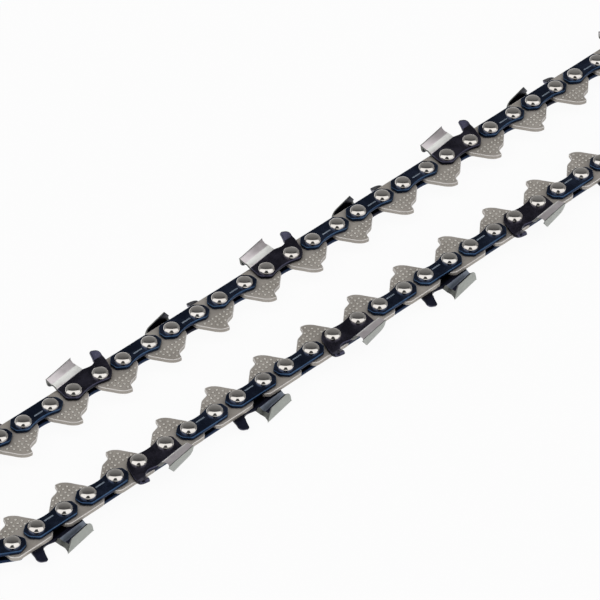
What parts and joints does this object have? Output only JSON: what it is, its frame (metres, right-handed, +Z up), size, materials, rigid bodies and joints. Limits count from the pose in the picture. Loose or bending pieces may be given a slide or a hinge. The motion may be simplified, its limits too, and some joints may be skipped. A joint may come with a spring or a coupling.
{
  "type": "chainsaw chain loop",
  "caption": "Closed loop of low-profile saw chain lying on its side: tanged drive links pivot between riveted tie straps and cutters with depth gauges.",
  "frame": {"origin": "on the surface that the chain lies on, under the middle of the loop's outline", "axes": "+X along the straight runs, the way the far run (+Y) cuts; +Z up, along the rivets"},
  "size_m": [0.3164, 0.0526, 0.0076],
  "materials": {
    "nickel_steel": "satin",
    "blued_steel": "blued",
    "cutter_steel": "chromed"
  },
  "bodies": {
    "left_cutter_link_01": {"left_cutter_link_01": "cutter_steel"},
    "drive_link_01": {"drive_link_01": "nickel_steel"},
    "tie_and_drive_link_02": {"tie_and_drive_link_02": "blued_steel"},
    "right_cutter_link_03": {"right_cutter_link_03": "cutter_steel"},
    "drive_link_03": {"drive_link_03": "nickel_steel"},
    "tie_link_04": {"tie_link_04": "blued_steel"},
    "drive_link_04": {"drive_link_04": "nickel_steel"},
    "left_cutter_link_05": {"left_cutter_link_05": "cutter_steel"},
    "drive_link_05": {"drive_link_05": "nickel_steel"},
    "tie_and_drive_link_06": {"tie_and_drive_link_06": "blued_steel"},
    "right_cutter_link_07": {"right_cutter_link_07": "cutter_steel"},
    "drive_link_07": {"drive_link_07": "nickel_steel"},
    "tie_link_08": {"tie_link_08": "blued_steel"},
    "drive_link_08": {"drive_link_08": "nickel_steel"},
    "left_cutter_link_09": {"left_cutter_link_09": "cutter_steel"},
    "drive_link_09": {"drive_link_09": "nickel_steel"},
    "tie_and_drive_link_10": {"tie_and_drive_link_10": "blued_steel"},
    "right_cutter_link_11": {"right_cutter_link_11": "cutter_steel"},
    "drive_link_11": {"drive_link_11": "nickel_steel"},
    "tie_link_12": {"tie_link_12": "blued_steel"},
    "drive_link_12": {"drive_link_12": "nickel_steel"},
    "left_cutter_link_13": {"left_cutter_link_13": "cutter_steel"},
    "drive_link_13": {"drive_link_13": "nickel_steel"},
    "tie_and_drive_link_14": {"tie_and_drive_link_14": "blued_steel"},
    "right_cutter_link_15": {"right_cutter_link_15": "cutter_steel"},
    "drive_link_15": {"drive_link_15": "nickel_steel"},
    "tie_link_16": {"tie_link_16": "blued_steel"},
    "drive_link_16": {"drive_link_16": "nickel_steel"},
    "right_cutter_link_17": {"right_cutter_link_17": "cutter_steel"},
    "drive_link_17": {"drive_link_17": "nickel_steel"},
    "tie_link_18": {"tie_link_18": "blued_steel"},
    "drive_link_18": {"drive_link_18": "nickel_steel"},
    "left_cutter_and_drive_link_19": {"left_cutter_and_drive_link_19": "cutter_steel"},
    "tie_link_20": {"tie_link_20": "blued_steel"},
    "drive_link_20": {"drive_link_20": "nickel_steel"},
    "right_cutter_link_21": {"right_cutter_link_21": "cutter_steel"},
    "drive_link_21": {"drive_link_21": "nickel_steel"},
    "tie_link_22": {"tie_link_22": "blued_steel"},
    "drive_link_22": {"drive_link_22": "nickel_steel"},
    "left_cutter_and_drive_link_23": {"left_cutter_and_drive_link_23": "cutter_steel"},
    "tie_link_24": {"tie_link_24": "blued_steel"},
    "drive_link_24": {"drive_link_24": "nickel_steel"},
    "right_cutter_link_25": {"right_cutter_link_25": "cutter_steel"},
    "drive_link_25": {"drive_link_25": "nickel_steel"},
    "tie_link_26": {"tie_link_26": "blued_steel"},
    "drive_link_26": {"drive_link_26": "nickel_steel"},
    "left_cutter_and_drive_link_27": {"left_cutter_and_drive_link_27": "cutter_steel"},
    "tie_link_28": {"tie_link_28": "blued_steel"},
    "drive_link_28": {"drive_link_28": "nickel_steel"},
    "right_cutter_link_29": {"right_cutter_link_29": "cutter_steel"},
    "drive_link_29": {"drive_link_29": "nickel_steel"},
    "tie_link_30": {"tie_link_30": "blued_steel"},
    "drive_link_30": {"drive_link_30": "nickel_steel"},
    "left_cutter_and_drive_link_31": {"left_cutter_and_drive_link_31": "cutter_steel"},
    "tie_link_32": {"tie_link_32": "blued_steel"},
    "drive_link_32": {"drive_link_32": "nickel_steel"},
    "right_cutter_link_33": {"right_cutter_link_33": "cutter_steel"},
    "drive_link_33": {"drive_link_33": "nickel_steel"},
    "tie_link_34": {"tie_link_34": "blued_steel"},
    "drive_link_34": {"drive_link_34": "nickel_steel"}
  },
  "joints": [
    {"name": "pivot_15", "type": "hinge", "parent": "tie_link_08", "child": "drive_link_08", "pos_m": [0.01941, 0.01705, 0.0038], "axis": [0, 0, 1], "range_deg": [-6, 0]},
    {"name": "pivot_16", "type": "hinge", "parent": "drive_link_08", "child": "left_cutter_link_09", "pos_m": [0.02814, 0.01705, 0.0038], "axis": [0, 0, 1], "range_deg": [-6, 0]},
    {"name": "pivot_17", "type": "hinge", "parent": "left_cutter_link_09", "child": "drive_link_09", "pos_m": [0.03821, 0.01705, 0.0038], "axis": [0, 0, 1], "range_deg": [-6, 0]},
    {"name": "pivot_18", "type": "hinge", "parent": "drive_link_09", "child": "tie_and_drive_link_10", "pos_m": [0.04694, 0.01705, 0.0038], "axis": [0, 0, 1], "range_deg": [-6, 0]},
    {"name": "pivot_20", "type": "hinge", "parent": "tie_and_drive_link_10", "child": "right_cutter_link_11", "pos_m": [0.06574, 0.01705, 0.0038], "axis": [0, 0, 1], "range_deg": [-6, 0]},
    {"name": "pivot_21", "type": "hinge", "parent": "right_cutter_link_11", "child": "drive_link_11", "pos_m": [0.07581, 0.01705, 0.0038], "axis": [0, 0, 1], "range_deg": [-6, 0]},
    {"name": "pivot_22", "type": "hinge", "parent": "drive_link_11", "child": "tie_link_12", "pos_m": [0.08454, 0.01705, 0.0038], "axis": [0, 0, 1], "range_deg": [-6, 0]},
    {"name": "pivot_23", "type": "hinge", "parent": "tie_link_12", "child": "drive_link_12", "pos_m": [0.09461, 0.01705, 0.0038], "axis": [0, 0, 1], "range_deg": [-6, 0]},
    {"name": "pivot_24", "type": "hinge", "parent": "drive_link_12", "child": "left_cutter_link_13", "pos_m": [0.10334, 0.01705, 0.0038], "axis": [0, 0, 1], "range_deg": [-6, 0]},
    {"name": "pivot_25", "type": "hinge", "parent": "left_cutter_link_13", "child": "drive_link_13", "pos_m": [0.11341, 0.01705, 0.0038], "axis": [0, 0, 1], "range_deg": [-6, 0]},
    {"name": "pivot_26", "type": "hinge", "parent": "drive_link_13", "child": "tie_and_drive_link_14", "pos_m": [0.12214, 0.01705, 0.0038], "axis": [0, 0, 1], "range_deg": [-6, 0]},
    {"name": "pivot_28", "type": "hinge", "parent": "tie_and_drive_link_14", "child": "right_cutter_link_15", "pos_m": [0.14094, 0.01705, 0.0038], "axis": [0, 0, 1], "range_deg": [0, 26]},
    {"name": "pivot_29", "type": "hinge", "parent": "right_cutter_link_15", "child": "drive_link_15", "pos_m": [0.14948, 0.01171, 0.0038], "axis": [0, 0, 1], "range_deg": [0, 31]},
    {"name": "pivot_30", "type": "hinge", "parent": "drive_link_15", "child": "tie_link_16", "pos_m": [0.15261, 0.00356, 0.0038], "axis": [0, 0, 1], "range_deg": [0, 31]},
    {"name": "pivot_31", "type": "hinge", "parent": "tie_link_16", "child": "drive_link_16", "pos_m": [0.14983, -0.00612, 0.0038], "axis": [0, 0, 1], "range_deg": [0, 25]},
    {"name": "pivot_32", "type": "hinge", "parent": "drive_link_16", "child": "right_cutter_link_17", "pos_m": [0.14345, -0.01207, 0.0038], "axis": [0, 0, 1], "range_deg": [0, 16]},
    {"name": "pivot_33", "type": "hinge", "parent": "right_cutter_link_17", "child": "drive_link_17", "pos_m": [0.13405, -0.01568, 0.0038], "axis": [0, 0, 1], "range_deg": [0, 6]},
    {"name": "pivot_34", "type": "hinge", "parent": "drive_link_17", "child": "tie_link_18", "pos_m": [0.12543, -0.01705, 0.0038], "axis": [0, 0, 1], "range_deg": [0, 3]},
    {"name": "pivot_35", "type": "hinge", "parent": "tie_link_18", "child": "drive_link_18", "pos_m": [0.11536, -0.01705, 0.0038], "axis": [0, 0, 1], "range_deg": [-6, 0]},
    {"name": "pivot_36", "type": "hinge", "parent": "drive_link_18", "child": "left_cutter_and_drive_link_19", "pos_m": [0.10663, -0.01705, 0.0038], "axis": [0, 0, 1], "range_deg": [-6, 0]},
    {"name": "pivot_38", "type": "hinge", "parent": "left_cutter_and_drive_link_19", "child": "tie_link_20", "pos_m": [0.08783, -0.01705, 0.0038], "axis": [0, 0, 1], "range_deg": [-6, 0]},
    {"name": "pivot_39", "type": "hinge", "parent": "tie_link_20", "child": "drive_link_20", "pos_m": [0.07776, -0.01705, 0.0038], "axis": [0, 0, 1], "range_deg": [-6, 0]},
    {"name": "pivot_40", "type": "hinge", "parent": "drive_link_20", "child": "right_cutter_link_21", "pos_m": [0.06903, -0.01705, 0.0038], "axis": [0, 0, 1], "range_deg": [-6, 0]},
    {"name": "pivot_41", "type": "hinge", "parent": "right_cutter_link_21", "child": "drive_link_21", "pos_m": [0.05896, -0.01705, 0.0038], "axis": [0, 0, 1], "range_deg": [-6, 0]},
    {"name": "pivot_42", "type": "hinge", "parent": "drive_link_21", "child": "tie_link_22", "pos_m": [0.05023, -0.01705, 0.0038], "axis": [0, 0, 1], "range_deg": [-6, 0]},
    {"name": "pivot_43", "type": "hinge", "parent": "tie_link_22", "child": "drive_link_22", "pos_m": [0.04016, -0.01705, 0.0038], "axis": [0, 0, 1], "range_deg": [-6, 0]},
    {"name": "pivot_44", "type": "hinge", "parent": "drive_link_22", "child": "left_cutter_and_drive_link_23", "pos_m": [0.03143, -0.01705, 0.0038], "axis": [0, 0, 1], "range_deg": [-6, 0]},
    {"name": "pivot_46", "type": "hinge", "parent": "left_cutter_and_drive_link_23", "child": "tie_link_24", "pos_m": [0.01263, -0.01705, 0.0038], "axis": [0, 0, 1], "range_deg": [-6, 0]},
    {"name": "pivot_47", "type": "hinge", "parent": "tie_link_24", "child": "drive_link_24", "pos_m": [0.00256, -0.01705, 0.0038], "axis": [0, 0, 1], "range_deg": [-6, 0]},
    {"name": "pivot_14", "type": "hinge", "parent": "tie_link_08", "child": "drive_link_07", "pos_m": [0.00934, 0.01705, 0.0038], "axis": [0, 0, 1], "range_deg": [0, 6]},
    {"name": "pivot_13", "type": "hinge", "parent": "drive_link_07", "child": "right_cutter_link_07", "pos_m": [0.00061, 0.01705, 0.0038], "axis": [0, 0, 1], "range_deg": [0, 6]},
    {"name": "pivot_12", "type": "hinge", "parent": "right_cutter_link_07", "child": "tie_and_drive_link_06", "pos_m": [-0.00946, 0.01705, 0.0038], "axis": [0, 0, 1], "range_deg": [0, 6]},
    {"name": "pivot_10", "type": "hinge", "parent": "tie_and_drive_link_06", "child": "drive_link_05", "pos_m": [-0.02826, 0.01705, 0.0038], "axis": [0, 0, 1], "range_deg": [0, 6]},
    {"name": "pivot_09", "type": "hinge", "parent": "drive_link_05", "child": "left_cutter_link_05", "pos_m": [-0.03699, 0.01705, 0.0038], "axis": [0, 0, 1], "range_deg": [0, 6]},
    {"name": "pivot_08", "type": "hinge", "parent": "left_cutter_link_05", "child": "drive_link_04", "pos_m": [-0.04706, 0.01705, 0.0038], "axis": [0, 0, 1], "range_deg": [0, 6]},
    {"name": "pivot_07", "type": "hinge", "parent": "drive_link_04", "child": "tie_link_04", "pos_m": [-0.05579, 0.01705, 0.0038], "axis": [0, 0, 1], "range_deg": [0, 6]},
    {"name": "pivot_06", "type": "hinge", "parent": "tie_link_04", "child": "drive_link_03", "pos_m": [-0.06586, 0.01705, 0.0038], "axis": [0, 0, 1], "range_deg": [0, 6]},
    {"name": "pivot_05", "type": "hinge", "parent": "drive_link_03", "child": "right_cutter_link_03", "pos_m": [-0.07459, 0.01705, 0.0038], "axis": [0, 0, 1], "range_deg": [0, 6]},
    {"name": "pivot_04", "type": "hinge", "parent": "right_cutter_link_03", "child": "tie_and_drive_link_02", "pos_m": [-0.08466, 0.01705, 0.0038], "axis": [0, 0, 1], "range_deg": [0, 6]},
    {"name": "pivot_02", "type": "hinge", "parent": "tie_and_drive_link_02", "child": "drive_link_01", "pos_m": [-0.10346, 0.01705, 0.0038], "axis": [0, 0, 1], "range_deg": [0, 6]},
    {"name": "pivot_01", "type": "hinge", "parent": "drive_link_01", "child": "left_cutter_link_01", "pos_m": [-0.11219, 0.01705, 0.0038], "axis": [0, 0, 1], "range_deg": [0, 6]},
    {"name": "pivot_00", "type": "hinge", "parent": "left_cutter_link_01", "child": "drive_link_34", "pos_m": [-0.12226, 0.01705, 0.0038], "axis": [0, 0, 1], "range_deg": [-3, 0]},
    {"name": "pivot_67", "type": "hinge", "parent": "drive_link_34", "child": "tie_link_34", "pos_m": [-0.13088, 0.01568, 0.0038], "axis": [0, 0, 1], "range_deg": [-6, 0]},
    {"name": "pivot_66", "type": "hinge", "parent": "tie_link_34", "child": "drive_link_33", "pos_m": [-0.14028, 0.01207, 0.0038], "axis": [0, 0, 1], "range_deg": [-16, 0]},
    {"name": "pivot_65", "type": "hinge", "parent": "drive_link_33", "child": "right_cutter_link_33", "pos_m": [-0.14667, 0.00612, 0.0038], "axis": [0, 0, 1], "range_deg": [-25, 0]},
    {"name": "pivot_64", "type": "hinge", "parent": "right_cutter_link_33", "child": "drive_link_32", "pos_m": [-0.14944, -0.00356, 0.0038], "axis": [0, 0, 1], "range_deg": [-31, 0]},
    {"name": "pivot_63", "type": "hinge", "parent": "drive_link_32", "child": "tie_link_32", "pos_m": [-0.14631, -0.01171, 0.0038], "axis": [0, 0, 1], "range_deg": [-31, 0]},
    {"name": "pivot_62", "type": "hinge", "parent": "tie_link_32", "child": "left_cutter_and_drive_link_31", "pos_m": [-0.13777, -0.01705, 0.0038], "axis": [0, 0, 1], "range_deg": [-26, 0]},
    {"name": "pivot_60", "type": "hinge", "parent": "left_cutter_and_drive_link_31", "child": "drive_link_30", "pos_m": [-0.11897, -0.01705, 0.0038], "axis": [0, 0, 1], "range_deg": [0, 6]},
    {"name": "pivot_59", "type": "hinge", "parent": "drive_link_30", "child": "tie_link_30", "pos_m": [-0.11024, -0.01705, 0.0038], "axis": [0, 0, 1], "range_deg": [0, 6]},
    {"name": "pivot_58", "type": "hinge", "parent": "tie_link_30", "child": "drive_link_29", "pos_m": [-0.10017, -0.01705, 0.0038], "axis": [0, 0, 1], "range_deg": [0, 6]},
    {"name": "pivot_57", "type": "hinge", "parent": "drive_link_29", "child": "right_cutter_link_29", "pos_m": [-0.09144, -0.01705, 0.0038], "axis": [0, 0, 1], "range_deg": [0, 6]},
    {"name": "pivot_56", "type": "hinge", "parent": "right_cutter_link_29", "child": "drive_link_28", "pos_m": [-0.08137, -0.01705, 0.0038], "axis": [0, 0, 1], "range_deg": [0, 6]},
    {"name": "pivot_55", "type": "hinge", "parent": "drive_link_28", "child": "tie_link_28", "pos_m": [-0.07264, -0.01705, 0.0038], "axis": [0, 0, 1], "range_deg": [0, 6]},
    {"name": "pivot_54", "type": "hinge", "parent": "tie_link_28", "child": "left_cutter_and_drive_link_27", "pos_m": [-0.06257, -0.01705, 0.0038], "axis": [0, 0, 1], "range_deg": [0, 6]},
    {"name": "pivot_52", "type": "hinge", "parent": "left_cutter_and_drive_link_27", "child": "drive_link_26", "pos_m": [-0.04377, -0.01705, 0.0038], "axis": [0, 0, 1], "range_deg": [0, 6]},
    {"name": "pivot_51", "type": "hinge", "parent": "drive_link_26", "child": "tie_link_26", "pos_m": [-0.03504, -0.01705, 0.0038], "axis": [0, 0, 1], "range_deg": [0, 6]},
    {"name": "pivot_50", "type": "hinge", "parent": "tie_link_26", "child": "drive_link_25", "pos_m": [-0.02497, -0.01705, 0.0038], "axis": [0, 0, 1], "range_deg": [0, 6]},
    {"name": "pivot_49", "type": "hinge", "parent": "drive_link_25", "child": "right_cutter_link_25", "pos_m": [-0.01624, -0.01705, 0.0038], "axis": [0, 0, 1], "range_deg": [0, 6]}
  ],
  "couplings": [
    {"joint": "pivot_15", "follows": "pivot_29", "ratio": -0.19355},
    {"joint": "pivot_16", "follows": "pivot_29", "ratio": -0.19355},
    {"joint": "pivot_17", "follows": "pivot_29", "ratio": -0.19355},
    {"joint": "pivot_18", "follows": "pivot_29", "ratio": -0.19355},
    {"joint": "pivot_20", "follows": "pivot_29", "ratio": -0.19355},
    {"joint": "pivot_21", "follows": "pivot_29", "ratio": -0.19355},
    {"joint": "pivot_22", "follows": "pivot_29", "ratio": -0.19355},
    {"joint": "pivot_23", "follows": "pivot_29", "ratio": -0.19355},
    {"joint": "pivot_24", "follows": "pivot_29", "ratio": -0.19355},
    {"joint": "pivot_25", "follows": "pivot_29", "ratio": -0.19355},
    {"joint": "pivot_26", "follows": "pivot_29", "ratio": -0.19355},
    {"joint": "pivot_28", "follows": "pivot_29", "ratio": 0.83871},
    {"joint": "pivot_30", "follows": "pivot_29", "ratio": 1},
    {"joint": "pivot_31", "follows": "pivot_29", "ratio": 0.80645},
    {"joint": "pivot_32", "follows": "pivot_29", "ratio": 0.51613},
    {"joint": "pivot_33", "follows": "pivot_29", "ratio": 0.19355},
    {"joint": "pivot_34", "follows": "pivot_29", "ratio": 0.096774},
    {"joint": "pivot_35", "follows": "pivot_29", "ratio": -0.19355},
    {"joint": "pivot_36", "follows": "pivot_29", "ratio": -0.19355},
    {"joint": "pivot_38", "follows": "pivot_29", "ratio": -0.19355},
    {"joint": "pivot_39", "follows": "pivot_29", "ratio": -0.19355},
    {"joint": "pivot_40", "follows": "pivot_29", "ratio": -0.19355},
    {"joint": "pivot_41", "follows": "pivot_29", "ratio": -0.19355},
    {"joint": "pivot_42", "follows": "pivot_29", "ratio": -0.19355},
    {"joint": "pivot_43", "follows": "pivot_29", "ratio": -0.19355},
    {"joint": "pivot_44", "follows": "pivot_29", "ratio": -0.19355},
    {"joint": "pivot_46", "follows": "pivot_29", "ratio": -0.19355},
    {"joint": "pivot_47", "follows": "pivot_29", "ratio": -0.19355},
    {"joint": "pivot_14", "follows": "pivot_29", "ratio": 0.19355},
    {"joint": "pivot_13", "follows": "pivot_29", "ratio": 0.19355},
    {"joint": "pivot_12", "follows": "pivot_29", "ratio": 0.19355},
    {"joint": "pivot_10", "follows": "pivot_29", "ratio": 0.19355},
    {"joint": "pivot_09", "follows": "pivot_29", "ratio": 0.19355},
    {"joint": "pivot_08", "follows": "pivot_29", "ratio": 0.19355},
    {"joint": "pivot_07", "follows": "pivot_29", "ratio": 0.19355},
    {"joint": "pivot_06", "follows": "pivot_29", "ratio": 0.19355},
    {"joint": "pivot_05", "follows": "pivot_29", "ratio": 0.19355},
    {"joint": "pivot_04", "follows": "pivot_29", "ratio": 0.19355},
    {"joint": "pivot_02", "follows": "pivot_29", "ratio": 0.19355},
    {"joint": "pivot_01", "follows": "pivot_29", "ratio": 0.19355},
    {"joint": "pivot_00", "follows": "pivot_29", "ratio": -0.096774},
    {"joint": "pivot_67", "follows": "pivot_29", "ratio": -0.19355},
    {"joint": "pivot_66", "follows": "pivot_29", "ratio": -0.51613},
    {"joint": "pivot_65", "follows": "pivot_29", "ratio": -0.80645},
    {"joint": "pivot_64", "follows": "pivot_29", "ratio": -1},
    {"joint": "pivot_63", "follows": "pivot_29", "ratio": -1},
    {"joint": "pivot_62", "follows": "pivot_29", "ratio": -0.83871},
    {"joint": "pivot_60", "follows": "pivot_29", "ratio": 0.19355},
    {"joint": "pivot_59", "follows": "pivot_29", "ratio": 0.19355},
    {"joint": "pivot_58", "follows": "pivot_29", "ratio": 0.19355},
    {"joint": "pivot_57", "follows": "pivot_29", "ratio": 0.19355},
    {"joint": "pivot_56", "follows": "pivot_29", "ratio": 0.19355},
    {"joint": "pivot_55", "follows": "pivot_29", "ratio": 0.19355},
    {"joint": "pivot_54", "follows": "pivot_29", "ratio": 0.19355},
    {"joint": "pivot_52", "follows": "pivot_29", "ratio": 0.19355},
    {"joint": "pivot_51", "follows": "pivot_29", "ratio": 0.19355},
    {"joint": "pivot_50", "follows": "pivot_29", "ratio": 0.19355},
    {"joint": "pivot_49", "follows": "pivot_29", "ratio": 0.19355}
  ]
}
